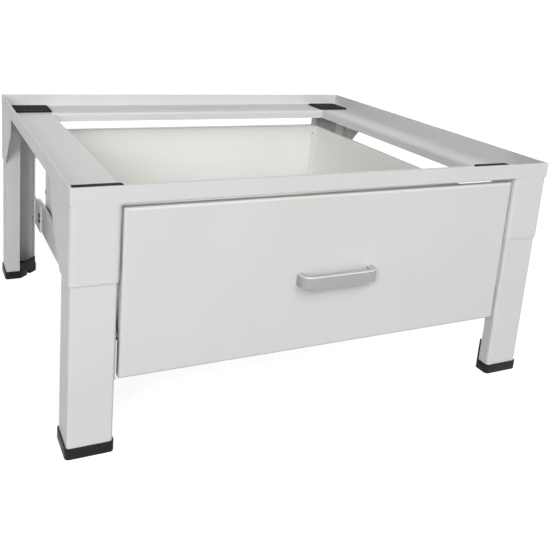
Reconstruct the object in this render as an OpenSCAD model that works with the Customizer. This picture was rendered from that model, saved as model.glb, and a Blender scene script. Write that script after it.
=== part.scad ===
// Washer pedestal drawer: a bent sheet steel stand for a washing machine or a dryer,
// with a steel drawer that runs on two ball bearing slides.
// Millimetres, +Z up. The origin is on the floor, under the middle of the whole object,
// and the drawer pulls out towards -Y.

/* [Stand] */
// Width of the stand over its outer faces
frame_w = 630; // [520:1:780]
// Depth of the stand over its outer faces, without the handle
frame_d = 540; // [440:1:660]
// Height from the floor to the top of the raised rim
frame_h = 300; // [245:1:400]
// Sheet thickness of the top rails
rail_t = 2; // [1.5:0.1:3]
// Width of the shelf that the machine stands on, from the outer face inwards
shelf_w = 69; // [55:1:85]
// Height of the rim above the shelf
rim_h = 18; // [12:1:30]
// Depth of the rail's inner fold, from the shelf's top downwards
fold_h = 14; // [8:1:18]
// Outer bend radius of the fold at the rail's inner edge
fold_r = 4; // [3:0.5:6]

/* [Corner posts] */
// Width of a post's front face
post_w = 53; // [45:1:65]
// Length of a post, from the rails down to the seam
post_l = 83.5; // [65:0.5:100]
// Sheet thickness of the posts
post_t = 1.5; // [1:0.1:2.5]
// Outer bend radius of the posts
bend_r = 5; // [3.5:0.5:7]
// Width of a post's inner flange
post_flange = 18; // [14:1:24]
// Depth of the post's side sheet at the rail
gusset_d = 102; // [80:1:130]
// Height of the gusset's straight edge, from the rail down
gusset_h = 25; // [10:1:40]

/* [Legs] */
// Sheet thickness of the legs
leg_t = 2; // [1.5:0.1:3]
// Depth of a leg's outer side
leg_d = 45; // [38:1:54]
// Width of a leg's rear flange
leg_rear = 21; // [16:1:26]
// Width of a leg's inner flange
leg_flange = 17; // [14:1:22]
// Gap between a leg and the post around it
leg_fit = 0.2; // [0.1:0.05:0.5]
// Gap between a leg's top and the rails
leg_top_gap = 3; // [1:0.5:10]

/* [Feet] */
// Height of a foot's outer wall
foot_h = 12.5; // [9:0.5:18]
// Thickness of a foot's floor, under the leg
foot_floor = 5; // [3:0.5:8]
// Height of the diagonal web that closes the leg's open corner
foot_web_h = 26; // [20:1:35]
// Thickness of the web and of the foot's inner walls
foot_wall = 2.5; // [1.5:0.1:4]
// Height of the arch in the diagonal wall
foot_arch_h = 8; // [4:0.5:10]
// Gap between a foot's groove and the leg
foot_fit = 0.2; // [0.1:0.05:0.4]

/* [Machine pads] */
// Width of a pad
pad_w = 56; // [30:1:70]
// Depth of a pad
pad_d = 52; // [30:1:54]
// Thickness of a pad
pad_t = 2.5; // [1.5:0.5:6]
// Corner radius of a pad
pad_r = 3; // [1:0.5:8]
// Distance from the stand's outer sides to a pad
pad_side = 13; // [6:0.5:20]
// Distance from the stand's front or rear face to a pad
pad_end = 12; // [6:0.5:13]

/* [Slides] */
// Height of the slides' centre line above the floor
slide_z = 107; // [104:1:125]
// Height of a slide
slide_h = 45.5; // [44:0.5:54]
// Thickness of a slide, from its bracket to the drawer
slide_w = 12.7; // [12.2:0.1:15.5]
// Sheet thickness of the slide's members
slide_t = 1.2; // [1:0.1:1.4]
// Ball radius
ball_r = 2.2; // [2:0.1:2.4]
// Running gap between a ball, its races and the members
run_gap = 0.3; // [0.2:0.05:0.4]
// Thickness of a ball cage
cage_t = 0.8; // [0.6:0.1:1]
// Balls in each row of a cage
balls_per_row = 8; // [4:1:12]
// Distance from ball to ball
ball_pitch = 22; // [12:1:24]
// Gap behind the slides, to the stand's rear face
slide_rear_gap = 26; // [15:1:60]
// Thickness of the mounting brackets
bracket_t = 1.5; // [1:0.1:2]
// Length of a bracket that the slide lies on
bracket_lap = 44; // [34:1:60]

/* [Drawer] */
// Height of the drawer front's lower edge above the floor
front_bottom = 84; // [70:1:90]
// Gap between the drawer front and the rail above it
front_top_gap = 5; // [3:0.5:10]
// Gap between the drawer front and the post on each side
front_side_gap = 3; // [2:0.5:6]
// How far the front's face lies behind the stand's front
front_recess = 3; // [0:0.5:8]
// Depth of the drawer front, face to back
front_depth = 10; // [9:0.5:16]
// Sheet thickness of the drawer front
front_t = 1.2; // [0.8:0.1:2]
// Edge radius of the drawer front
front_r = 3; // [2:0.5:6]
// Width of the lip round the back of the drawer front
front_lip = 30; // [24:1:40]
// Sheet thickness of the drawer's sides, ends and bottom
box_t = 1.2; // [0.8:0.1:1.6]
// Gap between the drawer box and the rails above it
box_top_gap = 32; // [22:1:50]
// Height of the drawer box's underside above the front's lower edge
box_raise = 7; // [0:0.5:12]
// Width of the fold along the top of the drawer box
box_fold = 5; // [4:0.5:8]
// Width of the flanges that join the drawer box
box_flange = 14; // [12:0.5:20]

/* [Handle] */
// Distance between the handle's screws
handle_pitch = 96; // [64:1:160]
// How far the handle stands out from the drawer front
handle_out = 18; // [16:0.5:40]
// Height of the handle's bar
handle_h = 16; // [14:0.5:24]
// Thickness of the handle's bar
handle_t = 8; // [6.5:0.5:10]
// Outer radius of the handle's bends
handle_r = 13; // [10:0.5:16]
// Height of the handle's middle above the floor
handle_z = 175; // [130:1:190]

/* [Screws] */
// Shank radius of the screws
screw_r = 2; // [1.5:0.1:2.5]
// Head radius of the screws
head_r = 3.8; // [3.2:0.1:4.5]
// Head height of the screws
head_h = 2; // [1.6:0.1:2.6]
// Gap between a screw's shank and its hole
screw_fit = 0.1; // [0.05:0.05:0.2]

/* [Hidden] */
$fn = 48;
// Overlap of a cutting tool past the face that it cuts
over = 1;

// Colours
white = [0.85, 0.86, 0.86];
drawer_white = [0.86, 0.86, 0.84];
black = [0.08, 0.08, 0.08];
zinc = [0.70, 0.71, 0.73];
bright = [0.85, 0.85, 0.87];
grey = [0.70, 0.71, 0.71];

// Levels of the stand
shelf_z = frame_h - rim_h;
rail_under = shelf_z - rail_t;
rim_r = rail_t + 0.2;
post_bottom = rail_under - post_l;

// The stand's front, set so that the handle and the stand share the origin's middle
handle_reach = handle_out - front_recess;
front_y = -(frame_d - handle_reach) / 2;

// A leg stands inside its post by the sheet and the gap
leg_in = post_t + leg_fit;
leg_w = post_w - 2 * leg_in;
leg_r = bend_r - leg_in;
flange_y = leg_in + leg_flange / 2;

// Places across the slides, from the stand's outer face inwards
bracket_x = leg_in + leg_w;
slide_x = bracket_x + bracket_t;
race_r = ball_r + run_gap;
outer_ball_x = race_r + slide_t;
outer_ball_z = slide_h / 2 - race_r - slide_t;
middle_web_x = slide_t + 2 * run_gap + cage_t;
middle_top = outer_ball_z - race_r;
inner_race_x = middle_web_x + slide_t + 2 * run_gap + cage_t;
inner_ball_x = inner_race_x + race_r - ball_r / 2;
inner_ball_z = middle_top - slide_t - race_r;
inner_top = inner_ball_z - race_r;
inner_web_x = slide_w - slide_t;
drawer_x = slide_x + slide_w;

// Lengths and places along the slides
box_y = front_recess + front_depth;
slide_y = box_y + 1;
slide_l = frame_d - slide_rear_gap - slide_y;
slide_end = slide_y + slide_l;
bumper_l = 8;
member_l = slide_l - bumper_l - 2;
travel = slide_l;
cage_l = balls_per_row * ball_pitch;
cage_y = slide_y + (member_l - cage_l) / 2;
slide_screw_in = 36;
slide_screw_dz = 4.5;
bracket_screw_dz = 11;
member_screws = [30, member_l / 2, member_l - 30];
slide_hole_r = 3;

// Levels and sizes of the drawer
front_top = rail_under - front_top_gap;
front_h = front_top - front_bottom;
front_x = post_w + front_side_gap;
front_w = frame_w - 2 * front_x;
box_bottom = front_bottom + box_raise;
box_top = rail_under - box_top_gap;
box_w = frame_w - 2 * drawer_x;
box_in_w = box_w - 2 * box_t;
box_r = box_t + 0.8;
box_l = slide_end - 5 - box_y;
end_y = [box_y + box_flange / 2, box_y + box_l - box_flange / 2];
end_screw_z = [slide_z + slide_h / 2 + 14, box_top - 16];
front_screw_x = (drawer_x + box_t + front_x + front_lip) / 2;

// The handle's screws stand in its feet
handle_w = handle_pitch + handle_t;
handle_x = [frame_w / 2 - handle_pitch / 2, frame_w / 2 + handle_pitch / 2];
handle_grip = 8;
spacer_r = 4.5;

// ---- Sheet metal profiles -------------------------------------------------

// Length that a bend takes from the flats on each side of it, on the drawn face
function take_up(turn, t, r) = turn > 0 ? r : r - t;

// A quarter of a bend. The drawn face arrives along +X and leaves at a right angle
module bend(turn, t, r) {
    if (turn > 0)
        translate([-r, r]) difference() {
            intersection() {
                circle(r);
                translate([0, -r]) square(r);
            }
            circle(r - t);
        }
    else
        translate([t - r, t - r]) difference() {
            intersection() {
                circle(r);
                square(r);
            }
            circle(r - t);
        }
}

// The outline of a bent sheet. flats holds the lengths of the drawn face between its
// corners, turns holds 1 for a bend to the left and -1 for one to the right, and the
// sheet lies on the left of the drawn face
module sheet(flats, turns, t, r, i = 0) {
    last = i == len(flats) - 1;
    head = i == 0 ? 0 : take_up(turns[i - 1], t, r);
    tail = last ? 0 : take_up(turns[i], t, r);
    translate([head, 0]) square([flats[i] - head - tail, t]);
    if (!last) translate([flats[i], 0]) {
        bend(turns[i], t, r);
        rotate(90 * turns[i]) sheet(flats, turns, t, r, i + 1);
    }
}

// A rectangle with round corners, from the origin to [w, d]
module round_rect(w, d, r) {
    translate([r, 0]) square([w - 2 * r, d]);
    translate([0, r]) square([w, d - 2 * r]);
    for (x = [r, w - r], y = [r, d - r]) translate([x, y]) circle(r);
}

// ---- Placing --------------------------------------------------------------

// From the stand's front left corner on the floor, to the left or the right side
module side(right) {
    mirror([right, 0, 0]) translate([-frame_w / 2, front_y, 0]) children();
}

// From the stand's front left corner to any of its four corners
module corner(right, back) {
    translate([0, front_y + frame_d / 2, 0])
        mirror([right, 0, 0]) mirror([0, back, 0])
            translate([-frame_w / 2, -frame_d / 2, 0]) children();
}

// Extrudes an outline drawn across the stand, in X and Z, backwards from y
module along_y(y, l) {
    translate([0, y + l, 0]) rotate([90, 0, 0]) linear_extrude(l) children();
}

// Extrudes an outline drawn in Y and Z, to the right from x
module along_x(x, l) {
    translate([x, 0, 0]) rotate([90, 0, 90]) linear_extrude(l) children();
}

// A screw along +X with its head's underside at the origin
module screw(grip) {
    rotate([0, 90, 0]) cylinder(h = grip, r = screw_r);
    rotate([0, -90, 0]) {
        cylinder(h = head_h - 0.6, r = head_r);
        translate([0, 0, head_h - 0.6]) cylinder(h = 0.6, r1 = head_r, r2 = head_r - 0.8);
    }
}

// A hole along +X for a screw, through a sheet that starts at the origin
module screw_hole(t) {
    translate([-over, 0, 0]) rotate([0, 90, 0]) cylinder(h = t + 2 * over, r = screw_r + screw_fit);
}

// ---- Top ring -------------------------------------------------------------

// One rail along +X, from the rim's top down, under the shelf and down the inner fold
module rail(l) {
    intersection() {
        along_x(0, l)
            translate([0, frame_h]) rotate(-90) rail_outline();
        translate([0, 0, rail_under - fold_h - over])
            linear_extrude(frame_h)
                polygon([[0, 0], [l, 0], [l - shelf_w, shelf_w], [shelf_w, shelf_w]]);
    }
}

// The rim, the shelf and the fold bend by different radii
module rail_outline() {
    sheet([rim_h + rail_t, shelf_w / 2], [1], rail_t, rim_r);
    translate([rim_h + rail_t, shelf_w / 2]) rotate(90)
        sheet([shelf_w / 2 - rail_t, fold_h - rail_t], [-1], rail_t, fold_r);
}

module front_rail() {
    color(white) corner(0, 0) rail(frame_w);
}
module back_rail() {
    color(white) corner(0, 1) rail(frame_w);
}
module left_rail() {
    color(white) corner(0, 0) mirror([1, -1, 0]) rail(frame_d);
}
module right_rail() {
    color(white) corner(1, 0) mirror([1, -1, 0]) rail(frame_d);
}

// ---- Corner posts and legs ------------------------------------------------

// Heights of the two screws that hold a leg in its post
leg_screw_z = [post_bottom + 20, post_bottom + 58];

// A post: gusset side, front face and inner flange in one bent sheet
module post() {
    difference() {
        translate([0, gusset_d, post_bottom]) linear_extrude(post_l)
            rotate(-90) sheet([gusset_d, post_w, post_flange], [1, 1], post_t, bend_r);
        // the gusset slopes down to the leg's depth
        along_x(-over, post_t + 2 * over)
            polygon([[leg_in + leg_d, post_bottom - over], [gusset_d + over, post_bottom - over],
                     [gusset_d + over, rail_under - gusset_h], [gusset_d, rail_under - gusset_h],
                     [leg_in + leg_d, post_bottom + 1]]);
        for (z = leg_screw_z) translate([post_w - post_t, flange_y, z]) screw_hole(post_t);
    }
}

module front_left_post() {
    color(white) corner(0, 0) post();
}
module front_right_post() {
    color(white) corner(1, 0) post();
}
module back_left_post() {
    color(white) corner(0, 1) post();
}
module back_right_post() {
    color(white) corner(1, 1) post();
}

// Plan outline of a leg, with its inner corner open
module leg_outline() {
    translate([leg_in + leg_rear, leg_in + leg_d]) rotate(180)
        sheet([leg_rear, leg_d, leg_w, leg_flange], [1, 1, 1], leg_t, leg_r);
}

module leg() {
    difference() {
        translate([0, 0, foot_floor]) linear_extrude(rail_under - leg_top_gap - foot_floor)
            leg_outline();
        for (z = leg_screw_z) translate([bracket_x - leg_t, flange_y, z]) screw_hole(leg_t);
        for (dz = [-1, 1] * bracket_screw_dz)
            translate([bracket_x - leg_t, flange_y, slide_z + dz]) screw_hole(leg_t);
    }
}

module front_left_leg() {
    color(white) corner(0, 0) leg();
}
module front_right_leg() {
    color(white) corner(1, 0) leg();
}
module back_left_leg() {
    color(white) corner(0, 1) leg();
}
module back_right_leg() {
    color(white) corner(1, 1) leg();
}

module leg_screws() {
    color(zinc)
        for (right = [0, 1], back = [0, 1], z = leg_screw_z)
            corner(right, back) translate([bracket_x - leg_t, flange_y, z])
                screw(leg_t + leg_fit + post_t + 0.8);
}

// ---- Feet -----------------------------------------------------------------

// The foot's outer faces lie flush with the post, as far out as its groove is deep in
foot_w = leg_w + 2 * leg_in;
foot_d = leg_d + 2 * leg_in;

// The two ends of the diagonal wall, moved in by a distance square to each side
function diagonal(inset) = [
    [2 * leg_in + leg_rear - inset, foot_d],
    [foot_w, 2 * leg_in + leg_flange - inset]
];

// What lies on the leg's side of the diagonal wall
module diagonal_side(inset) {
    ends = diagonal(inset);
    polygon([[0, 0], [foot_w, 0], ends[1], ends[0], [0, foot_d]]);
}

module foot_outline() {
    intersection() {
        round_rect(foot_w, foot_d, bend_r);
        diagonal_side(0);
    }
}

// The space inside the leg, less the foot's inner walls
module foot_pocket() {
    wall = leg_in + leg_t + foot_fit + foot_wall;
    intersection() {
        translate([wall, wall]) square([foot_w - 2 * wall, foot_d - 2 * wall]);
        diagonal_side(foot_wall * sqrt(2));
    }
}

// The groove that the leg's lower edge sits in
module leg_groove() {
    for (dx = [-foot_fit, foot_fit], dy = [-foot_fit, foot_fit])
        translate([dx, dy]) leg_outline();
}

module foot() {
    ends = diagonal(0);
    middle = (ends[0] + ends[1]) / 2;
    difference() {
        union() {
            linear_extrude(foot_h) foot_outline();
            linear_extrude(foot_web_h) difference() {
                intersection() {
                    foot_outline();
                    translate([leg_in, leg_in]) square([leg_w, leg_d]);
                }
                diagonal_side(foot_wall * sqrt(2));
            }
        }
        translate([0, 0, foot_floor]) linear_extrude(foot_web_h) leg_groove();
        translate([0, 0, foot_floor]) linear_extrude(foot_web_h) foot_pocket();
        // an arch in the foot of the diagonal wall
        translate([middle[0], middle[1], foot_arch_h / 2]) rotate([0, 0, -45]) {
            rotate([90, 0, 0]) cylinder(h = 4 * foot_wall, r = foot_arch_h / 2, center = true);
            translate([-foot_arch_h / 2, -2 * foot_wall, -foot_arch_h])
                cube([foot_arch_h, 4 * foot_wall, foot_arch_h]);
        }
    }
}

module front_left_foot() {
    color(black) corner(0, 0) foot();
}
module front_right_foot() {
    color(black) corner(1, 0) foot();
}
module back_left_foot() {
    color(black) corner(0, 1) foot();
}
module back_right_foot() {
    color(black) corner(1, 1) foot();
}

// ---- Pads under the machine -----------------------------------------------

module pad() {
    translate([pad_side, pad_end, shelf_z]) linear_extrude(pad_t) round_rect(pad_w, pad_d, pad_r);
}

module front_left_pad() {
    color(black) corner(0, 0) pad();
}
module front_right_pad() {
    color(black) corner(1, 0) pad();
}
module back_left_pad() {
    color(black) corner(0, 1) pad();
}
module back_right_pad() {
    color(black) corner(1, 1) pad();
}

// ---- Slides: brackets and outer members -----------------------------------

// A plate from a leg's inner flange to the slide, from y to y + l, with its leg screws
// at leg_y and its slide screws at slide_screw_y
module bracket(y, l, leg_y, slide_screw_y) {
    difference() {
        translate([bracket_x, y, slide_z - slide_h / 2]) cube([bracket_t, l, slide_h]);
        for (dz = [-1, 1] * bracket_screw_dz)
            translate([bracket_x, leg_y, slide_z + dz]) screw_hole(bracket_t);
        for (dz = [-1, 1] * slide_screw_dz)
            translate([bracket_x, slide_screw_y, slide_z + dz]) screw_hole(bracket_t);
    }
}

module front_bracket() {
    bracket(leg_in + 1, slide_y + bracket_lap - leg_in - 1, flange_y, slide_y + slide_screw_in);
}
module rear_bracket() {
    start = slide_end - bracket_lap;
    bracket(start, frame_d - leg_in - 1 - start, frame_d - flange_y, slide_end - slide_screw_in);
}

module left_front_bracket() {
    color(white) side(0) front_bracket();
}
module right_front_bracket() {
    color(white) side(1) front_bracket();
}
module left_rear_bracket() {
    color(white) side(0) rear_bracket();
}
module right_rear_bracket() {
    color(white) side(1) rear_bracket();
}

module bracket_screws() {
    color(zinc)
        for (right = [0, 1], y = [flange_y, frame_d - flange_y], dz = [-1, 1] * bracket_screw_dz)
            side(right) translate([bracket_x - leg_t, y, slide_z + dz])
                screw(leg_t + bracket_t + 0.8);
}

module slide_screws() {
    color(black)
        for (right = [0, 1], y = [slide_y + slide_screw_in, slide_end - slide_screw_in],
             dz = [-1, 1] * slide_screw_dz)
            side(right) translate([bracket_x, y, slide_z + dz]) screw(bracket_t + slide_t);
}

// Half of a race: the arc from angle a to angle b, round a row of balls
module race(x, z, a, b) {
    translate([x, z]) difference() {
        intersection() {
            circle(race_r + slide_t);
            wedge(a, b, 2 * race_r + 2 * slide_t);
        }
        circle(race_r);
    }
}

// A sector from angle a to angle b, up to 200 degrees wide
module wedge(a, b, r) {
    polygon([[0, 0], for (i = [0:4]) r * [cos(a + (b - a) * i / 4), sin(a + (b - a) * i / 4)]]);
}

// Draws a slide member's upper half and its mirror image
module both_halves() {
    children();
    mirror([0, 1]) children();
}

// Outer member: a web with a race curled over the balls at its top and bottom
module outer_section() {
    both_halves() race(outer_ball_x, outer_ball_z, -18, 180);
    translate([0, -outer_ball_z]) square([slide_t, 2 * outer_ball_z]);
}

// Middle member: it carries the outer balls in a groove on top, and curls over the
// inner balls below
module middle_section() {
    top = middle_top;
    both_halves() {
        intersection() {
            race(outer_ball_x, outer_ball_z, 234, 306);
            translate([middle_web_x, 0]) square([slide_w, slide_h]);
        }
        translate([middle_web_x, top - slide_t]) square([inner_ball_x - middle_web_x, slide_t]);
        race(inner_ball_x, inner_ball_z, -15, 90);
    }
    translate([middle_web_x, -top]) square([slide_t, 2 * top]);
}

// Inner member: a web on the drawer with a groove for the inner balls
module inner_section() {
    both_halves() {
        intersection() {
            race(inner_ball_x, inner_ball_z, 234, 306);
            translate([inner_race_x, 0]) square([slide_w, slide_h]);
        }
        translate([inner_ball_x, inner_top - slide_t]) square([slide_w - inner_ball_x, slide_t]);
    }
    translate([inner_web_x, -inner_top]) square([slide_t, 2 * inner_top]);
}

// A member of length l, with round holes of radius r through its web at x
module member(l, x, holes, r) {
    difference() {
        translate([slide_x, 0, slide_z]) along_y(slide_y, l) children();
        for (y = holes)
            translate([slide_x + x - over, slide_y + y, slide_z])
                rotate([0, 90, 0]) cylinder(h = slide_t + 2 * over, r = r);
    }
}

module outer_slide() {
    difference() {
        member(slide_l, 0, [slide_l * 0.3, slide_l * 0.7], slide_hole_r) outer_section();
        for (y = [slide_y + slide_screw_in, slide_end - slide_screw_in],
             dz = [-1, 1] * slide_screw_dz)
            translate([slide_x, y, slide_z + dz]) screw_hole(slide_t);
    }
}
module middle_slide() {
    member(member_l, middle_web_x, member_screws, 5) middle_section();
}
module inner_slide() {
    member(member_l, inner_web_x, member_screws, screw_r + screw_fit) inner_section();
}

// A soft block that stops the drawer at the back of an outer member
module bumper() {
    translate([slide_x + slide_t, slide_end - bumper_l, slide_z - slide_h / 4])
        cube([slide_w / 2, bumper_l, slide_h / 2]);
}

module left_outer_slide() {
    color(zinc) side(0) outer_slide();
}
module right_outer_slide() {
    color(zinc) side(1) outer_slide();
}
module slide_bumpers() {
    color(black) {
        side(0) bumper();
        side(1) bumper();
    }
}
module left_middle_slide() {
    color(zinc) side(0) middle_slide();
}
module right_middle_slide() {
    color(zinc) side(1) middle_slide();
}
module left_inner_slide() {
    color(zinc) side(0) inner_slide();
}
module right_inner_slide() {
    color(zinc) side(1) inner_slide();
}

// ---- Slides: cages and balls ----------------------------------------------

// Places of a row's balls along the cage
ball_places = [for (i = [0:balls_per_row - 1]) cage_y + ball_pitch * (i + 0.5)];

// A thin channel with its web at web_x and a hole in its flanges for each ball
module cage(web_x, ball_x, ball_z) {
    top = ball_z + cage_t / 2;
    reach = ball_x + ball_r / 2 - web_x;
    translate([slide_x, 0, slide_z]) difference() {
        along_y(cage_y, cage_l) {
            translate([web_x, -top]) square([cage_t, 2 * top]);
            for (z = [-top, top - cage_t]) translate([web_x, z]) square([reach, cage_t]);
        }
        for (y = ball_places, s = [-1, 1])
            translate([ball_x, y, s * ball_z])
                cylinder(h = 4 * cage_t, r = ball_r + 0.05, center = true);
    }
}

module balls(ball_x, ball_z) {
    for (y = ball_places, s = [-1, 1])
        translate([slide_x + ball_x, y, slide_z + s * ball_z]) sphere(ball_r);
}

module outer_cage() {
    cage(slide_t + run_gap, outer_ball_x, outer_ball_z);
}
module inner_cage() {
    cage(middle_web_x + slide_t + run_gap, inner_ball_x, inner_ball_z);
}

module left_outer_cage() {
    color(bright) side(0) outer_cage();
}
module right_outer_cage() {
    color(bright) side(1) outer_cage();
}
module left_inner_cage() {
    color(bright) side(0) inner_cage();
}
module right_inner_cage() {
    color(bright) side(1) inner_cage();
}
module left_outer_balls() {
    color(bright) side(0) balls(outer_ball_x, outer_ball_z);
}
module right_outer_balls() {
    color(bright) side(1) balls(outer_ball_x, outer_ball_z);
}
module left_inner_balls() {
    color(bright) side(0) balls(inner_ball_x, inner_ball_z);
}
module right_inner_balls() {
    color(bright) side(1) balls(inner_ball_x, inner_ball_z);
}

// ---- Drawer box -----------------------------------------------------------

// A side: a fold along the top, the wall, and a flange that carries the bottom
module box_side() {
    wall_h = box_top - box_t - box_bottom;
    difference() {
        along_y(box_y, box_l)
            translate([drawer_x + box_t - box_fold, box_top - box_t - 4]) rotate(90)
                sheet([4, box_fold - box_t, wall_h, box_flange], [-1, -1, 1], box_t, box_r);
        for (y = member_screws) translate([drawer_x, slide_y + y, slide_z]) screw_hole(box_t);
        for (y = end_y, z = end_screw_z) translate([drawer_x, y, z]) screw_hole(box_t);
    }
}

// An end of the box, with a flange at each side that lies against the drawer's sides
module box_end() {
    inset = drawer_x + box_t;
    bottom = box_bottom + 2 * box_t;
    difference() {
        union() {
            translate([inset, box_flange, bottom]) linear_extrude(box_top - box_t - bottom)
                rotate(-90) sheet([box_flange, box_in_w, box_flange], [1, 1], box_t, box_r);
            // the lip along its top
            translate([inset + box_r, 0, box_top - box_t])
                cube([box_in_w - 2 * box_r, box_fold, box_t]);
        }
        for (x = [inset, inset + box_in_w - box_t], z = end_screw_z)
            translate([x, box_flange / 2, z]) screw_hole(box_t);
    }
}

module drawer_left_side() {
    color(drawer_white) side(0) box_side();
}
module drawer_right_side() {
    color(drawer_white) side(1) box_side();
}
module drawer_inner_front() {
    color(drawer_white) side(0) difference() {
        translate([0, box_y, 0]) box_end();
        for (x = [front_screw_x, frame_w - front_screw_x], z = end_screw_z)
            translate([x, box_y + box_t, z]) rotate(-90) screw_hole(box_t);
        for (x = handle_x) translate([x, box_y + box_t, handle_z]) rotate(-90) screw_hole(box_t);
    }
}
module drawer_back() {
    color(drawer_white) side(0) translate([0, box_y + box_l, 0]) mirror([0, 1, 0]) box_end();
}
module drawer_bottom() {
    color(drawer_white) side(0)
        translate([drawer_x + box_r, box_y, box_bottom + box_t])
            cube([box_w - 2 * box_r, box_l, box_t]);
}

module drawer_box_screws() {
    color(zinc)
        for (right = [0, 1], y = end_y, z = end_screw_z)
            side(right) translate([drawer_x, y, z]) screw(2 * box_t + 0.8);
}

module drawer_slide_screws() {
    color(zinc)
        for (right = [0, 1], y = member_screws)
            side(right) translate([drawer_x + box_t, slide_y + y, slide_z]) mirror([1, 0, 0])
                screw(box_t + slide_t);
}

// ---- Drawer front ---------------------------------------------------------

// A rectangle from the origin to [w, d], with round corners at the ends of its first side
module round_front(w, d, r) {
    translate([r, 0]) square([w - 2 * r, d]);
    translate([0, r]) square([w, d - r]);
    for (x = [r, w - r]) translate([x, r]) circle(r);
}

// The drawer front as a block with a round edge all round its face, smaller by inset
module front_block(inset) {
    depth = front_depth - 2 * inset;
    intersection() {
        translate([front_x + inset, front_recess + inset, 0]) linear_extrude(frame_h)
            round_front(front_w - 2 * inset, depth, front_r - inset);
        along_x(0, frame_w)
            translate([front_recess + inset, front_top - inset]) rotate(-90)
                round_front(front_h - 2 * inset, depth, front_r - inset);
    }
}

// A hollow pan, open at the back inside a lip
module drawer_front() {
    color(drawer_white) side(0) difference() {
        front_block(0);
        front_block(front_t);
        translate([front_x + front_lip, box_y - front_t - over, front_bottom + front_lip])
            cube([front_w - 2 * front_lip, front_t + 2 * over, front_h - 2 * front_lip]);
        for (x = [front_screw_x, frame_w - front_screw_x], z = end_screw_z)
            translate([x, box_y, z]) rotate(-90) screw_hole(front_t);
        for (x = handle_x)
            translate([x, front_recess + front_t, handle_z]) rotate(-90) screw_hole(front_t);
    }
}

module drawer_front_screws() {
    color(zinc) side(0)
        for (x = [front_screw_x, frame_w - front_screw_x], z = end_screw_z)
            translate([x, box_y + box_t, z]) rotate(-90) screw(box_t + front_t + 0.8);
}

// ---- Handle ---------------------------------------------------------------

// A flat bar bent into a bow, with a screw in each of its feet
module handle() {
    color(grey) side(0) difference() {
        intersection() {
            translate([frame_w / 2 - handle_w / 2, front_recess, handle_z - handle_h / 2])
                linear_extrude(handle_h)
                    rotate(-90) sheet([handle_out, handle_w, handle_out], [1, 1], handle_t, handle_r);
            // round its corners as seen from the front
            along_y(-frame_d, 2 * frame_d)
                translate([frame_w / 2 - handle_w / 2, handle_z - handle_h / 2])
                    round_rect(handle_w, handle_h, 2);
        }
        for (x = handle_x)
            translate([x, front_recess + over, handle_z]) rotate([90, 0, 0])
                cylinder(h = handle_grip + 1 + over, r = screw_r + screw_fit);
    }
}

// Tubes that keep the hollow front apart where the handle's screws pass through
module handle_spacers() {
    color(zinc) side(0)
        for (x = handle_x)
            translate([x, box_y, handle_z]) rotate([90, 0, 0]) difference() {
                cylinder(h = front_depth - front_t, r = spacer_r);
                translate([0, 0, -over])
                    cylinder(h = front_depth + 2 * over, r = screw_r + screw_fit);
            }
}

module handle_screws() {
    color(zinc) side(0)
        for (x = handle_x)
            translate([x, box_y + box_t, handle_z]) rotate(-90)
                screw(box_t + front_depth + handle_grip);
}

front_rail();
back_rail();
left_rail();
right_rail();
front_left_post();
front_right_post();
back_left_post();
back_right_post();
front_left_leg();
front_right_leg();
back_left_leg();
back_right_leg();
front_left_foot();
front_right_foot();
back_left_foot();
back_right_foot();
front_left_pad();
front_right_pad();
back_left_pad();
back_right_pad();
leg_screws();
left_front_bracket();
right_front_bracket();
left_rear_bracket();
right_rear_bracket();
bracket_screws();
slide_screws();
left_outer_slide();
right_outer_slide();
slide_bumpers();
left_outer_cage();
right_outer_cage();
left_outer_balls();
right_outer_balls();
left_middle_slide();
right_middle_slide();
left_inner_cage();
right_inner_cage();
left_inner_balls();
right_inner_balls();
left_inner_slide();
right_inner_slide();
drawer_slide_screws();
drawer_left_side();
drawer_right_side();
drawer_inner_front();
drawer_back();
drawer_bottom();
drawer_box_screws();
drawer_front();
drawer_front_screws();
handle();
handle_spacers();
handle_screws();
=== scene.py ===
import math

import bmesh
import bpy
from mathutils import Matrix, Vector


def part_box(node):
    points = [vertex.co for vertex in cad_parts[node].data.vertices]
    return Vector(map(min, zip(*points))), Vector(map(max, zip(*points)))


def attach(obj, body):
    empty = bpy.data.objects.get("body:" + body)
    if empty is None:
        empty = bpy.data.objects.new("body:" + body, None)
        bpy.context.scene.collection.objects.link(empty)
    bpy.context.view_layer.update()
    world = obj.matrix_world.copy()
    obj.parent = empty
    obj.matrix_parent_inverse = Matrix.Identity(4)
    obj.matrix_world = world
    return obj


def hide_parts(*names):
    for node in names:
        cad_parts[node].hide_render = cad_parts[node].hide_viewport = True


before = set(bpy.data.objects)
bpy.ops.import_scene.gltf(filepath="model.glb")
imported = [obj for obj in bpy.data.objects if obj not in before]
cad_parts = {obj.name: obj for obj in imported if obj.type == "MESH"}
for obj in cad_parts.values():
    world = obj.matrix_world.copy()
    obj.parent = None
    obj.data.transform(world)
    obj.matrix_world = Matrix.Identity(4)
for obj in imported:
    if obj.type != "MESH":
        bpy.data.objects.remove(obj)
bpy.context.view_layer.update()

bpy.ops.object.select_all(action="DESELECT")


# ---- Top ring ---------------------------------------------------------------
# Four rails folded from 2 mm steel sheet, mitred, welded into a ring and powder
# coated white. A machine's feet stand on the shelf, inside the raised rim.

RAILS = ("front_rail", "back_rail", "left_rail", "right_rail")
STAND_WHITE = (0.668, 0.678, 0.672)
STAND_WHITE_DULL = (0.638, 0.648, 0.643)
STAND_PEEL = 520  # bumps of orange peel to a metre
PEEL_DETAIL = 1.5
PEEL_DEPTH = 0.00012
PEEL_STRENGTH = 0.5
COAT_DRIFT = 9  # patches of duller white to a metre
COAT_CLOUDS = 60  # patches of softer gloss to a metre
COAT_ROUGHNESS = (0.36, 0.46)
NOISE_LOW = 0.3  # a noise seldom leaves the range from here
NOISE_HIGH = 0.7  # to here


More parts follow.
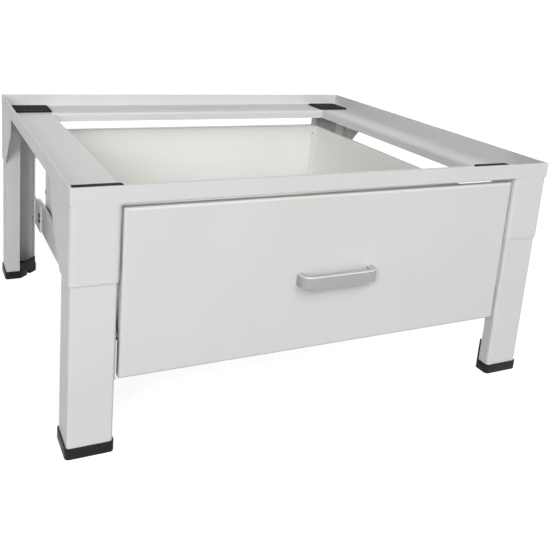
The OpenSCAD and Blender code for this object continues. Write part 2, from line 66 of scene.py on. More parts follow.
def new_finish(name):
    """A material whose patterns are read in metres on the piece itself."""
    finish = bpy.data.materials.new(name)
    finish.use_nodes = True
    tree = finish.node_tree
    place = tree.nodes.new("ShaderNodeTexCoord")
    return finish, tree, tree.nodes["Principled BSDF"], place.outputs["Object"]


def speckle(tree, where, per_metre, detail=2.0, stretch=(1, 1, 1)):
    """Noise with this many features to a metre, drawn out along an axis if asked."""
    mapping = tree.nodes.new("ShaderNodeMapping")
    mapping.inputs["Scale"].default_value = stretch
    tree.links.new(where, mapping.inputs["Vector"])
    noise = tree.nodes.new("ShaderNodeTexNoise")
    noise.inputs["Scale"].default_value = per_metre
    noise.inputs["Detail"].default_value = detail
    tree.links.new(mapping.outputs["Vector"], noise.inputs["Vector"])
    return noise.outputs["Fac"]


def between(tree, amount, low, high):
    """Spreads a noise over a range of values."""
    spread = tree.nodes.new("ShaderNodeMapRange")
    spread.inputs["From Min"].default_value = NOISE_LOW
    spread.inputs["From Max"].default_value = NOISE_HIGH
    spread.inputs["To Min"].default_value = low
    spread.inputs["To Max"].default_value = high
    tree.links.new(amount, spread.inputs["Value"])
    return spread.outputs["Result"]


def two_tones(tree, amount, dull, clear):
    """Runs from one colour to another with a noise."""
    mix = tree.nodes.new("ShaderNodeMix")
    mix.data_type = "RGBA"
    mix.inputs["A"].default_value = (*dull, 1)
    mix.inputs["B"].default_value = (*clear, 1)
    tree.links.new(between(tree, amount, 0, 1), mix.inputs["Factor"])
    return mix.outputs["Result"]


def relief(tree, shader, height, depth, strength):
    """Raises the surface by a pattern, depth in metres."""
    bump = tree.nodes.new("ShaderNodeBump")
    bump.inputs["Strength"].default_value = strength
    bump.inputs["Distance"].default_value = depth
    tree.links.new(height, bump.inputs["Height"])
    tree.links.new(bump.outputs["Normal"], shader.inputs["Normal"])


def powder_coat(name, clear, dull, peel):
    """Baked powder paint: a fine orange peel, and a tone that drifts a little."""
    finish, tree, shader, where = new_finish(name)
    tone = two_tones(tree, speckle(tree, where, COAT_DRIFT), dull, clear)
    roughness = between(tree, speckle(tree, where, COAT_CLOUDS), *COAT_ROUGHNESS)
    tree.links.new(tone, shader.inputs["Base Color"])
    tree.links.new(roughness, shader.inputs["Roughness"])
    relief(tree, shader, speckle(tree, where, peel, PEEL_DETAIL), PEEL_DEPTH, PEEL_STRENGTH)
    return finish


def give(finish, *nodes):
    """Puts a finish on CAD parts."""
    for node in nodes:
        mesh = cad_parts[node].data
        mesh.materials.clear()
        mesh.materials.append(finish)


stand_paint = powder_coat("stand_paint", STAND_WHITE, STAND_WHITE_DULL, STAND_PEEL)
give(stand_paint, *RAILS)


# ---- Corner posts -----------------------------------------------------------
# Short posts in folded 1.5 mm sheet with a sloping gusset along the side,
# welded under the ring's corners and coated with it.

CORNERS = ("front_left", "front_right", "back_left", "back_right")
give(stand_paint, *[f"{corner}_post" for corner in CORNERS])


# ---- Welds ------------------------------------------------------------------
# A bead of weld metal fills the groove between each post and the ring's bent
# edge. It is ground nearly flush and coated with the stand.

WELD_SUNK = 0.00012  # how far the bead lies in from the sheet's face
WELD_WIDE = 0.0014
WELD_HIGH = 0.0017
WELD_TURN = 0.0030  # radius at the post's bent edge
WELD_TURN_STEPS = 8
WELD_ROUNDING = 0.0003
WELD_LAP = 0.0001  # how far the bead reaches down over the post
ROUNDING_STEPS = 5
SMOOTH_UNDER = math.radians(40)  # facets that meet flatter than this shade as one


def start_bar(name, place, width, height, rounding):
    """Opens a bar with its rounded end, which faces -Y."""
    bpy.ops.object.select_all(action="DESELECT")
    bpy.ops.mesh.primitive_plane_add(size=1, location=(0, 0, 0))
    bar = bpy.context.object
    bar.name = name
    upright = Matrix.Rotation(math.radians(90), 4, "X")
    bar.data.transform(Matrix.Translation(place) @ upright @ Matrix.Diagonal((width, height, 1, 1)))
    bpy.ops.object.mode_set(mode="EDIT")
    bpy.ops.mesh.select_all(action="SELECT")
    bpy.ops.mesh.bevel(offset=rounding, segments=ROUNDING_STEPS, affect="VERTICES")
    bpy.ops.mesh.select_all(action="SELECT")
    return bar


def draw_bar(x, y):
    """Draws the bar's selected end on in a straight line."""
    bpy.ops.mesh.extrude_region_move(TRANSFORM_OT_translate={"value": (x, y, 0)})


def turn_bar(x, y, z, steps):
    """Turns the bar's selected end a quarter of the way round a centre."""
    bpy.ops.mesh.spin(steps=steps, angle=math.radians(-90), center=(x, y, z), axis=(0, 0, 1))


def close_bar():
    """Finishes the bar's shape."""
    bpy.ops.mesh.select_all(action="SELECT")
    bpy.ops.mesh.normals_make_consistent(inside=False)
    bpy.ops.object.mode_set(mode="OBJECT")
    bpy.ops.object.shade_smooth_by_angle(angle=SMOOTH_UNDER)


def mirrored(piece, name, across, along, middle_y):
    """A copy of a piece at another corner, -1 where it is turned over across X or along Y."""
    copy = bpy.data.objects.new(name, piece.data.copy())
    bpy.context.scene.collection.objects.link(copy)
    copy.data.transform(Matrix.Translation((0, middle_y, 0))
                        @ Matrix.Diagonal((across, along, 1, 1))
                        @ Matrix.Translation((0, -middle_y, 0)))
    if across * along < 0:
        copy.data.flip_normals()
    return copy


low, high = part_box("front_left_post")
back_of_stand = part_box("back_left_post")[1].y
weld_x = low.x + WELD_SUNK
weld_y = low.y + WELD_SUNK
weld_z = high.z + WELD_HIGH / 2 - WELD_LAP
bead = start_bar("front_left_weld", (weld_x + WELD_WIDE / 2, high.y, weld_z),
                 WELD_WIDE, WELD_HIGH, WELD_ROUNDING)
draw_bar(0, weld_y + WELD_TURN - high.y)
turn_bar(weld_x + WELD_TURN, weld_y + WELD_TURN, weld_z, WELD_TURN_STEPS)
draw_bar(high.x - weld_x - WELD_TURN, 0)
close_bar()
middle_y = (low.y + back_of_stand) / 2
beads = [bead,
         mirrored(bead, "front_right_weld", -1, 1, middle_y),
         mirrored(bead, "back_left_weld", 1, -1, middle_y),
         mirrored(bead, "back_right_weld", -1, -1, middle_y)]
for bead in beads:
    bead.data.materials.append(stand_paint)
    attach(bead, "stand")


# ---- Legs -------------------------------------------------------------------
# Open channels in folded 2 mm sheet that slip up inside the posts and are
# screwed to them. Same coating as the ring.

give(stand_paint, *[f"{corner}_leg" for corner in CORNERS])


# ---- Feet -------------------------------------------------------------------
# Moulded black plastic shoes pushed onto the legs' ends, each with a diagonal
# wall that closes the open corner of the channel.

FOOT_BLACK = (0.019, 0.019, 0.020)
FOOT_BLACK_DULL = (0.010, 0.010, 0.011)
FOOT_EDGE = 0.0006
FOOT_CORNER = math.radians(30)  # corners sharper than this are rounded
EDGE_STEPS = 2
PLASTIC_GRAIN = 900  # grains to a metre
PLASTIC_ROUGHNESS = (0.42, 0.56)
MOULD_SPECULAR = 0.15
MOULD_DRIFT = 70
MOULD_CLOUDS = 240
MOULD_DETAIL = 3
MOULD_DEPTH = 0.00015
MOULD_STRENGTH = 0.6
SAME_POINT = 1e-6
FLAT = math.radians(1)


def moulded(name, clear, dull, grain, roughness):
    """Black plastic or rubber with the fine grain of its mould."""
    finish, tree, shader, where = new_finish(name)
    shader.inputs["Specular IOR Level"].default_value = MOULD_SPECULAR
    tone = two_tones(tree, speckle(tree, where, MOULD_DRIFT), dull, clear)
    tree.links.new(tone, shader.inputs["Base Color"])
    clouds = between(tree, speckle(tree, where, MOULD_CLOUDS), *roughness)
    tree.links.new(clouds, shader.inputs["Roughness"])
    relief(tree, shader, speckle(tree, where, grain, MOULD_DETAIL), MOULD_DEPTH, MOULD_STRENGTH)
    return finish


def merged_copy(node, name):
    """A CAD part's shape as one closed mesh, to finish further."""
    bpy.ops.object.select_all(action="DESELECT")
    copy = bpy.data.objects.new(name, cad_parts[node].data.copy())
    bpy.context.scene.collection.objects.link(copy)
    bpy.context.view_layer.objects.active = copy
    copy.select_set(True)
    bpy.ops.object.mode_set(mode="EDIT")
    bpy.ops.mesh.select_all(action="SELECT")
    bpy.ops.mesh.remove_doubles(threshold=SAME_POINT)
    bpy.ops.mesh.dissolve_limited(angle_limit=FLAT)
    bpy.ops.object.mode_set(mode="OBJECT")
    return copy


def soften(piece, radius, corner):
    """Rounds a piece's sharper edges as a mould leaves them."""
    bpy.context.view_layer.objects.active = piece
    rounding = piece.modifiers.new("rounding", "BEVEL")
    rounding.width = radius
    rounding.segments = EDGE_STEPS
    rounding.limit_method = "ANGLE"
    rounding.angle_limit = corner
    rounding.harden_normals = False
    bpy.ops.object.modifier_apply(modifier=rounding.name)
    bpy.ops.object.select_all(action="DESELECT")
    piece.select_set(True)
    bpy.ops.object.shade_smooth_by_angle(angle=SMOOTH_UNDER)


def dress(piece, finish, slot, body, *nodes):
    """Finishes a new piece: its material, its body and the CAD parts it stands for."""
    piece.data.materials.clear()
    piece.data.materials.append(finish)
    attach(piece, body)
    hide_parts(*nodes)


foot_plastic = moulded("foot_plastic", FOOT_BLACK, FOOT_BLACK_DULL,
                       PLASTIC_GRAIN, PLASTIC_ROUGHNESS)
for corner in CORNERS:
    shoe = merged_copy(f"{corner}_foot", f"{corner}_shoe")
    soften(shoe, FOOT_EDGE, FOOT_CORNER)
    dress(shoe, foot_plastic, "foot_plastic", "stand", f"{corner}_foot")


# ---- Pads -------------------------------------------------------------------
# Black rubber squares with a grooved top, cut from ribbed sheet and glued to
# the shelf. Each carries one of the machine's feet.

PAD_BLACK = (0.012, 0.012, 0.012)
PAD_BLACK_DULL = (0.007, 0.007, 0.007)
PAD_GRAIN = 1400
PAD_ROUGHNESS = (0.6, 0.75)
PAD_CORNER = 0.003
PAD_RIB = 0.0026
PAD_FIRST_RIB = 0.002  # from the pad's end
PAD_PLAIN = 0.006  # length of both ends that have no groove
PAD_GROOVE_SIDE = 0.0005
PAD_GROOVE_DEEP = 0.0005
PAD_EDGE = 0.0003
PAD_EDGE_CORNER = math.radians(50)
FACES_UP = 0.9  # a face points up if its normal does by more than this


def ribbed_pad(node, name):
    """A rubber square in the place of a CAD pad, grooved across its top."""
    low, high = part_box(node)
    size = high - low
    ribs = (size.y - PAD_PLAIN) / PAD_RIB
    bpy.ops.object.select_all(action="DESELECT")
    bpy.ops.mesh.primitive_cube_add(size=1, location=(0, 0, 0))
    pad = bpy.context.object
    pad.name = name
    pad.data.transform(Matrix.Translation((low + high) / 2) @ Matrix.Diagonal((*size, 1)))
    bpy.ops.object.mode_set(mode="EDIT")
    bpy.ops.mesh.select_mode(type="EDGE")
    mesh = bmesh.from_edit_mesh(pad.data)
    for edge in mesh.edges:
        edge.select = abs(edge.verts[0].co.z - edge.verts[1].co.z) > size.z / 2
    bmesh.update_edit_mesh(pad.data)
    bpy.ops.mesh.bevel(offset=PAD_CORNER, segments=ROUNDING_STEPS)
    for rib in range(1, int(ribs) + 1):
        bpy.ops.mesh.select_all(action="SELECT")
        bpy.ops.mesh.bisect(plane_co=(0, low.y + PAD_FIRST_RIB + rib * PAD_RIB, 0),
                            plane_no=(0, 1, 0))
    bpy.ops.mesh.select_mode(type="FACE")
    bpy.ops.mesh.select_all(action="DESELECT")
    mesh = bmesh.from_edit_mesh(pad.data)
    for face in mesh.faces:
        rib = (face.calc_center_median().y - low.y - PAD_FIRST_RIB) / PAD_RIB
        face.select = face.normal.z > FACES_UP and 1 < rib < ribs and int(rib) % 2 == 1
    bmesh.update_edit_mesh(pad.data)
    bpy.ops.mesh.inset(thickness=PAD_GROOVE_SIDE, depth=-PAD_GROOVE_DEEP, use_individual=True)
    bpy.ops.object.mode_set(mode="OBJECT")
    soften(pad, PAD_EDGE, PAD_EDGE_CORNER)
    return pad


rubber = moulded("rubber_pad", PAD_BLACK, PAD_BLACK_DULL, PAD_GRAIN, PAD_ROUGHNESS)
for corner in CORNERS:
    pad = ribbed_pad(f"{corner}_pad", f"{corner}_rubber")
    dress(pad, rubber, "rubber_pad", "stand", f"{corner}_pad")


# ---- Slides -----------------------------------------------------------------
# Full extension ball bearing slides in zinc plated, roll formed steel. Coated
# bracket plates inside the legs carry them, and a soft block stops the drawer.

SLIDE_ZINC = (0.70, 0.71, 0.72)
SLIDE_ZINC_DULL = (0.64, 0.65, 0.665)
SLIDE_ROUGHNESS = (0.30, 0.40)
SLIDE_METAL = 0.45
BALL_STEEL = (0.66, 0.66, 0.67)
BALL_STEEL_DULL = (0.60, 0.60, 0.62)
BALL_ROUGHNESS = (0.08, 0.16)
BALL_METAL = 0.95
BUMPER_BLACK = (0.03, 0.03, 0.03)
BUMPER_BLACK_DULL = (0.015, 0.015, 0.015)
ZINC_MOTTLE = 170  # patches to a metre
ZINC_MOTTLE_DETAIL = 3
ROLLING_LINES = 700
ROLLING_RELIEF = 900
ROLLING_DETAIL = 2
ROLLING_DEPTH = 0.00005
ROLLING_STRENGTH = 0.35
ALONG_Y = (1, 0.02, 1)  # draws a pattern out along the strip
EVERY_WAY = (1, 1, 1)


def zinc_plate(name, clear, dull, along, roughness, metal):
    """Zinc plate: fine rolling lines along the strip, and a faint mottle."""
    finish, tree, shader, where = new_finish(name)
    shader.inputs["Metallic"].default_value = metal
    mottle = speckle(tree, where, ZINC_MOTTLE, ZINC_MOTTLE_DETAIL)
    lines = speckle(tree, where, ROLLING_LINES, ROLLING_DETAIL, along)
    ridges = speckle(tree, where, ROLLING_RELIEF, ROLLING_DETAIL, along)
    tree.links.new(two_tones(tree, mottle, dull, clear), shader.inputs["Base Color"])
    tree.links.new(between(tree, lines, *roughness), shader.inputs["Roughness"])
    relief(tree, shader, ridges, ROLLING_DEPTH, ROLLING_STRENGTH)
    return finish


slide_steel = zinc_plate("slide_steel", SLIDE_ZINC, SLIDE_ZINC_DULL, ALONG_Y,
                         SLIDE_ROUGHNESS, SLIDE_METAL)
ball_steel = zinc_plate("ball_steel", BALL_STEEL, BALL_STEEL_DULL, EVERY_WAY,
                        BALL_ROUGHNESS, BALL_METAL)
bumper_plastic = moulded("bumper_plastic", BUMPER_BLACK, BUMPER_BLACK_DULL,
                         PLASTIC_GRAIN, PLASTIC_ROUGHNESS)
for side in ("left", "right"):
    give(stand_paint, f"{side}_front_bracket", f"{side}_rear_bracket")
    for part in ("outer", "middle", "inner"):
        give(slide_steel, f"{side}_{part}_slide")
    for part in ("outer", "inner"):
        give(slide_steel, f"{side}_{part}_cage")
        give(ball_steel, f"{side}_{part}_balls")
give(bumper_plastic, "slide_bumpers")


# ---- Screws -----------------------------------------------------------------
# Pan head steel screws with a cross recess and a rolled thread. Those of the
# stand and the drawer are zinc plated, and those of the slides are black.

HEAD_RADIUS = 0.0038
HEAD_HEIGHT = 0.002
HEAD_SIDES = 24
HEAD_ROUNDING = 0.0011
HEAD_ROUNDING_STEPS = 3
SHANK_RADIUS = 0.002
THREAD_PITCH = 0.0007
THREAD_ROOT = 0.82  # of the shank's radius
RECESS_LONG = 0.0040
RECESS_WIDE = 0.0010
RECESS_DEEP = 0.0013
ALMOST = 0.9  # share of a size past which a point counts as on the head's top or rim
SCREW_ZINC = (0.60, 0.60, 0.61)
SCREW_ZINC_DULL = (0.50, 0.50, 0.51)
SCREW_ROUGHNESS = (0.25, 0.36)
SCREW_METAL = 0.7
SCREW_BLACK = (0.035, 0.035, 0.035)
SCREW_BLACK_DULL = (0.02, 0.02, 0.02)
SCREW_BLACK_ROUGHNESS = (0.30, 0.42)
SCREW_BLACK_METAL = 0.3


def face_towards(piece, way):
    """Selects the face that lies furthest one way, in edit mode."""
    bpy.ops.mesh.select_mode(type="FACE")
    bpy.ops.mesh.select_all(action="DESELECT")
    mesh = bmesh.from_edit_mesh(piece.data)
    mesh.faces.ensure_lookup_table()
    found = max(mesh.faces,
                key=lambda face: (round(face.normal.dot(way), 3), face.calc_area()))
    found.select = True
    mesh.faces.active = found
    bmesh.update_edit_mesh(piece.data)


def thread(length):
    """Draws a selected end face out along +X from the origin in the ridges of a thread."""
    steps = max(2, round(length / THREAD_PITCH) * 2)
    for n in range(steps):
        bpy.ops.mesh.extrude_region_move(TRANSFORM_OT_translate={"value": (length / steps, 0, 0)})
        size = THREAD_ROOT if n % 2 == 0 else 1 / THREAD_ROOT
        bpy.ops.transform.resize(value=(1, size, size),
                                 center_override=((n + 1) * length / steps, 0, 0))


def cross_cutter():
    """The shape that a cross recess takes out of the head."""
    bars = []
    for size in ((RECESS_LONG, RECESS_WIDE), (RECESS_WIDE, RECESS_LONG)):
        bpy.ops.mesh.primitive_cube_add(size=1, location=(0, 0, 0))
        bar = bpy.context.object
        bar.data.transform(Matrix.Translation((-HEAD_HEIGHT, 0, 0))
                           @ Matrix.Diagonal((2 * RECESS_DEEP, *size, 1)))
        bars.append(bar)
    for bar in bars:
        bar.select_set(True)
    bpy.ops.object.join()
    return bpy.context.object


def pan_head_screw(grip):
    """A screw along +X, with the underside of its head at the origin."""
    bpy.ops.object.select_all(action="DESELECT")
    cross = cross_cutter()
    bpy.ops.object.select_all(action="DESELECT")
    bpy.ops.mesh.primitive_cylinder_add(vertices=HEAD_SIDES, radius=HEAD_RADIUS,
                                        depth=HEAD_HEIGHT, location=(-HEAD_HEIGHT / 2, 0, 0),
                                        rotation=(0, math.radians(90), 0))
    screw = bpy.context.object
    bpy.ops.object.transform_apply(location=True, rotation=True, scale=True)
    bpy.ops.object.mode_set(mode="EDIT")
    bpy.ops.mesh.select_mode(type="EDGE")
    bpy.ops.mesh.select_all(action="DESELECT")
    mesh = bmesh.from_edit_mesh(screw.data)
    for edge in mesh.edges:
        edge.select = all(vert.co.x < -ALMOST * HEAD_HEIGHT for vert in edge.verts)
    bmesh.update_edit_mesh(screw.data)
    bpy.ops.mesh.bevel(offset=HEAD_ROUNDING, segments=HEAD_ROUNDING_STEPS)
    face_towards(screw, Vector((1, 0, 0)))
    bpy.ops.mesh.inset(thickness=HEAD_RADIUS - SHANK_RADIUS)
    thread(grip)
    bpy.ops.object.mode_set(mode="OBJECT")
    recess = screw.modifiers.new("recess", "BOOLEAN")
    recess.object = cross
    recess.use_self = True
    bpy.ops.object.modifier_apply(modifier=recess.name)
    bpy.data.objects.remove(cross)
    bpy.ops.object.shade_smooth_by_angle(angle=SMOOTH_UNDER)
    return screw


def separate_solids(node):
    """The corner points of each separate solid of a CAD part."""
    mesh = bmesh.new()
    mesh.from_mesh(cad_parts[node].data)
    bmesh.ops.remove_doubles(mesh, verts=mesh.verts, dist=SAME_POINT)
    waiting, solids = set(mesh.verts), []
    while waiting:
        solid, edge = set(), [waiting.pop()]
        while edge:
            vert = edge.pop()
            solid.add(vert)
            edge += [link.other_vert(vert) for link in vert.link_edges
                     if link.other_vert(vert) in waiting]
            waiting -= set(edge)
        solids.append([vert.co.copy() for vert in solid])
    mesh.free()
    return solids


def screw_seat(points):
    """A screw's seat: the middle of its head's underside, its direction and its grip."""
    low = Vector([min(p[k] for p in points) for k in range(3)])
    high = Vector([max(p[k] for p in points) for k in range(3)])
    seat = (low + high) / 2
    along = max(range(3), key=lambda k: abs((high - low)[k] - 2 * HEAD_RADIUS))
    rim = [p[along] for p in points
           if Vector([0 if k == along else p[k] - seat[k] for k in range(3)]).length
           > ALMOST * HEAD_RADIUS]
    sign = 1 if sum(rim) / len(rim) < seat[along] else -1
    seat[along] = max(rim) if sign > 0 else min(rim)
    tip = high[along] if sign > 0 else low[along]
    way = Vector([sign if k == along else 0 for k in range(3)])
    return seat, way, abs(tip - seat[along])


def drive_screws(node, name, finish, slot, body):
    """Puts a modelled screw at each seat of a CAD part's screws."""
    seats = sorted([screw_seat(points) for points in separate_solids(node)],
                   key=lambda seat: tuple(round(v, 4) for v in seat[0]))
    made = {}
    copies = []
    for place, way, grip in seats:
        key = round(grip, 5)
        if key not in made:
            made[key] = pan_head_screw(key)
        copy = bpy.data.objects.new(name, made[key].data.copy())
        turn = Vector((1, 0, 0)).rotation_difference(way).to_matrix().to_4x4()
        copy.data.transform(Matrix.Translation(place) @ turn)
        bpy.context.scene.collection.objects.link(copy)
        copies.append(copy)
    for screw in made.values():
        bpy.data.objects.remove(screw)
    bpy.ops.object.select_all(action="DESELECT")
    for copy in copies:
        copy.select_set(True)
    bpy.context.view_layer.objects.active = copies[0]
    bpy.ops.object.join()
    screws = bpy.context.object
    screws.name = name
    dress(screws, finish, slot, body, node)


screw_steel = zinc_plate("screw_steel", SCREW_ZINC, SCREW_ZINC_DULL, EVERY_WAY,
                         SCREW_ROUGHNESS, SCREW_METAL)
screw_black = zinc_plate("screw_black", SCREW_BLACK, SCREW_BLACK_DULL, EVERY_WAY,
                         SCREW_BLACK_ROUGHNESS, SCREW_BLACK_METAL)
for place, finish, slot, body in (
    ("leg", screw_steel, "screw_steel", "stand"),
    ("bracket", screw_steel, "screw_steel", "stand"),
    ("slide", screw_black, "screw_black", "stand"),
    ("drawer_slide", screw_steel, "screw_steel", "drawer"),
    ("drawer_box", screw_steel, "screw_steel", "drawer"),
    ("drawer_front", screw_steel, "screw_steel", "drawer"),
    ("handle", screw_steel, "screw_steel", "drawer"),
):
    drive_screws(f"{place}_screws", f"{place}_pan_heads", finish, slot, body)
give(screw_steel, "handle_spacers")


# ---- Drawer box -------------------------------------------------------------
# Two sides, an inner front, a back and a bottom, folded from 1.2 mm steel sheet,
# coated a creamy white and screwed together.

BOX_CREAM = (0.815, 0.808, 0.782)
BOX_CREAM_DULL = (0.795, 0.788, 0.762)
BOX_PEEL = 600

box_paint = powder_coat("drawer_box", BOX_CREAM, BOX_CREAM_DULL, BOX_PEEL)
give(box_paint, "drawer_left_side", "drawer_right_side", "drawer_inner_front", "drawer_back",
     "drawer_bottom")


# ---- Drawer front -----------------------------------------------------------
# A hollow pan folded from 1.2 mm steel sheet with rounded edges, coated white.
# It is screwed to the drawer's inner front from inside.

FRONT_WHITE = (0.672, 0.672, 0.660)
FRONT_WHITE_DULL = (0.648, 0.648, 0.637)
FRONT_PEEL = 560

front_paint = powder_coat("drawer_front", FRONT_WHITE, FRONT_WHITE_DULL, FRONT_PEEL)
give(front_paint, "drawer_front")


# ---- Handle -----------------------------------------------------------------
# A moulded bow handle, painted a satin silver, with a painted highlight on its
# rounded edges. Screws come into its two feet from behind the drawer front.

HANDLE_THICK = 0.008
HANDLE_CORNER = 0.013
HANDLE_CORNER_STEPS = 12
HANDLE_EDGE = 0.0018
HANDLE_GREY = (0.385, 0.395, 0.400)
HANDLE_GREY_DULL = (0.365, 0.375, 0.380)
# painted highlight: a lighter grey for the rounded edges than for the faces
HANDLE_PAINTED_HIGHLIGHT = (0.66, 0.665, 0.66)
HANDLE_PAINTED_HIGHLIGHT_DULL = (0.62, 0.625, 0.62)
HANDLE_METAL = 0.25
HANDLE_ROUGHNESS = (0.28, 0.36)
HANDLE_MOTTLE = 160
HANDLE_MOTTLE_DETAIL = 3
EDGE_PAINTED_HIGHLIGHT = (
    # share of the edge's rounding, from the face to the top, and how much painted highlight it gets
    # there
    (0.0, 0.0), (0.2, 0.0), (0.45, 1.0), (0.85, 1.0), (1.0, 0.25),
)


def painted_highlight_on_edge(tree, where, middle_z, height):
    """How much painted highlight the handle gets at a level, by how far up its rounded edge that
    lies.
    """
    level = tree.nodes.new("ShaderNodeSeparateXYZ")
    tree.links.new(where, level.inputs["Vector"])
    off_middle = tree.nodes.new("ShaderNodeMath")
    off_middle.operation = "SUBTRACT"
    off_middle.inputs[1].default_value = middle_z
    tree.links.new(level.outputs["Z"], off_middle.inputs[0])
    either_way = tree.nodes.new("ShaderNodeMath")
    either_way.operation = "ABSOLUTE"
    tree.links.new(off_middle.outputs[0], either_way.inputs[0])
    share = tree.nodes.new("ShaderNodeMapRange")
    share.inputs["From Min"].default_value = height / 2 - HANDLE_EDGE
    share.inputs["From Max"].default_value = height / 2
    tree.links.new(either_way.outputs[0], share.inputs["Value"])
    highlight_ramp = tree.nodes.new("ShaderNodeValToRGB")
    steps = highlight_ramp.color_ramp.elements
    for n, (place, amount) in enumerate(EDGE_PAINTED_HIGHLIGHT):
        step = steps[n] if n < len(steps) else steps.new(place)
        step.position = place
        step.color = (amount, amount, amount, 1)
    tree.links.new(share.outputs["Result"], highlight_ramp.inputs["Fac"])
    return highlight_ramp.outputs["Color"]


low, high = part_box("handle")
height = high.z - low.z
middle_z = (low.z + high.z) / 2
straight = high.y - low.y - HANDLE_CORNER
handle = start_bar("bow_handle", (low.x + HANDLE_THICK / 2, high.y, middle_z),
                   HANDLE_THICK, height, HANDLE_EDGE)
draw_bar(0, -straight)
turn_bar(low.x + HANDLE_CORNER, low.y + HANDLE_CORNER, middle_z, HANDLE_CORNER_STEPS)
draw_bar(high.x - low.x - 2 * HANDLE_CORNER, 0)
turn_bar(high.x - HANDLE_CORNER, low.y + HANDLE_CORNER, middle_z, HANDLE_CORNER_STEPS)
draw_bar(0, straight)
close_bar()

handle_silver, tree, shader, where = new_finish("handle")
shader.inputs["Metallic"].default_value = HANDLE_METAL
mottle = speckle(tree, where, HANDLE_MOTTLE, HANDLE_MOTTLE_DETAIL)
# painted highlight: the faces take the grey, and the rounded top and bottom edges a lighter grey
tone = tree.nodes.new("ShaderNodeMix")
tone.data_type = "RGBA"
tree.links.new(painted_highlight_on_edge(tree, where, middle_z, height), tone.inputs["Factor"])
tree.links.new(two_tones(tree, mottle, HANDLE_GREY_DULL, HANDLE_GREY), tone.inputs["A"])
tree.links.new(two_tones(tree, mottle, HANDLE_PAINTED_HIGHLIGHT_DULL, HANDLE_PAINTED_HIGHLIGHT), tone.inputs["B"])
tree.links.new(tone.outputs["Result"], shader.inputs["Base Color"])
clouds = between(tree, speckle(tree, where, ROLLING_LINES), *HANDLE_ROUGHNESS)
tree.links.new(clouds, shader.inputs["Roughness"])
relief(tree, shader, speckle(tree, where, ROLLING_RELIEF), ROLLING_DEPTH, ROLLING_STRENGTH)
dress(handle, handle_silver, "handle", "drawer", "handle")


# ---- Floor ------------------------------------------------------------------
# A sheet of white paper under the stand. It looks nearly white but for the
# stand's soft shadow, and throws back less light than it seems to.

FLOOR_SIDE = 5.0
PAPER_BOUNCE = (0.3, 0.3, 0.3)  # what lights the stand from below
PAPER_SHADE = (0.4, 0.4, 0.4)  # what shows the shadow
PAPER_GLOW = 0.85


def show_background(tree, lighting, seen, output):
    """One shader for the light that a thing gives, and another for where it is looked at."""
    ray = tree.nodes.new("ShaderNodeLightPath")
    looked_at = ray.outputs["Is Camera Ray"]
    for kind in ("Is Glossy Ray", "Is Transmission Ray"):
        either = tree.nodes.new("ShaderNodeMath")
        either.operation = "MAXIMUM"
        tree.links.new(looked_at, either.inputs[0])
        tree.links.new(ray.outputs[kind], either.inputs[1])
        looked_at = either.outputs[0]
    pick = tree.nodes.new("ShaderNodeMixShader")
    tree.links.new(looked_at, pick.inputs["Fac"])
    tree.links.new(lighting.outputs[0], pick.inputs[1])
    tree.links.new(seen.outputs[0], pick.inputs[2])
    tree.links.new(pick.outputs[0], tree.nodes.new(output).inputs["Surface"])


bpy.ops.mesh.primitive_plane_add(size=FLOOR_SIDE, location=(0, 0, 0))
floor = bpy.context.object
floor.name = "floor"
paper_white = bpy.data.materials.new("floor_white")
paper_white.use_nodes = True
tree = paper_white.node_tree
tree.nodes.clear()
bounce = tree.nodes.new("ShaderNodeBsdfDiffuse")
bounce.inputs["Color"].default_value = (*PAPER_BOUNCE, 1)
shade = tree.nodes.new("ShaderNodeBsdfDiffuse")
shade.inputs["Color"].default_value = (*PAPER_SHADE, 1)
glow = tree.nodes.new("ShaderNodeEmission")
glow.inputs["Strength"].default_value = PAPER_GLOW
both = tree.nodes.new("ShaderNodeAddShader")
tree.links.new(shade.outputs[0], both.inputs[0])
tree.links.new(glow.outputs[0], both.inputs[1])
show_background(tree, bounce, both, "ShaderNodeOutputMaterial")
floor.data.materials.append(paper_white)


# ---- Light ------------------------------------------------------------------
# A white room with four large soft lamps before the stand and one behind it,
# which lights its back and is kept out of the mirror of the glossy shelves.

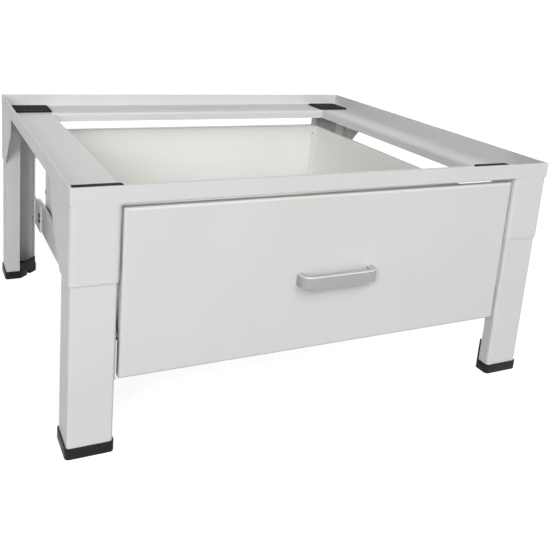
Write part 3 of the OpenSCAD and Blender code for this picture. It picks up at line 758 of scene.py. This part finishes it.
ROOM_LIGHT = 0.13
ROOM_SEEN = 1.0
LAMPS = {
    # name: place, what it points at, side in metres, power in watts
    "front_lamp": ((-0.3, -6.0, 1.6), (0, 0, 0.15), 4.0, 58),
    "high_lamp": ((0.3, -4.0, 4.5), (0, 0, 0.15), 3.0, 102),
    "left_lamp": ((-2.2, -2.7, 1.7), (0, 0, 0.15), 1.6, 80),
    "right_lamp": ((4.0, -4.0, 3.0), (0, 0, 0.15), 3.0, 48),
    "back_lamp": ((3.5, 4.5, 1.1), (0, 0, 0.15), 3.0, 330),
}

room = bpy.data.worlds.new("room")
bpy.context.scene.world = room
room.use_nodes = True
tree = room.node_tree
tree.nodes.clear()
walls = []
for strength in (ROOM_LIGHT, ROOM_SEEN):
    wall = tree.nodes.new("ShaderNodeBackground")
    wall.inputs["Color"].default_value = (1, 1, 1, 1)
    wall.inputs["Strength"].default_value = strength
    walls.append(wall)
show_background(tree, *walls, "ShaderNodeOutputWorld")

for name, (place, target, side, power) in LAMPS.items():
    bpy.ops.object.light_add(type="AREA", location=place)
    lamp = bpy.context.object
    lamp.name = name
    lamp.rotation_euler = (Vector(target) - Vector(place)).to_track_quat("-Z", "Y").to_euler()
    lamp.data.size = side
    lamp.data.energy = power
    lamp.visible_glossy = name != "back_lamp"


# ---- Camera -----------------------------------------------------------------
# Stands where the photograph was taken from, a little over the stand and to
# the left of it, and is shifted only as far as the photograph's framing needs.

CAMERA_PLACE = (-0.457986, -0.949694, 0.509016)
CAMERA_TURN = (77.2375, -4.0913, -24.6722)  # degrees
SENSOR_WIDTH = 36
LENS = 48.1776
SHIFT_X = 0.05
SHIFT_Y = -0.235
NEAREST = 0.05

bpy.ops.object.camera_add(location=CAMERA_PLACE, rotation=[math.radians(a) for a in CAMERA_TURN])
camera = bpy.context.object
camera.data.sensor_width = SENSOR_WIDTH
camera.data.lens = LENS
camera.data.shift_x = SHIFT_X
camera.data.shift_y = SHIFT_Y
camera.data.clip_start = NEAREST
bpy.context.scene.camera = camera
bpy.context.scene.view_settings.view_transform = "Standard"
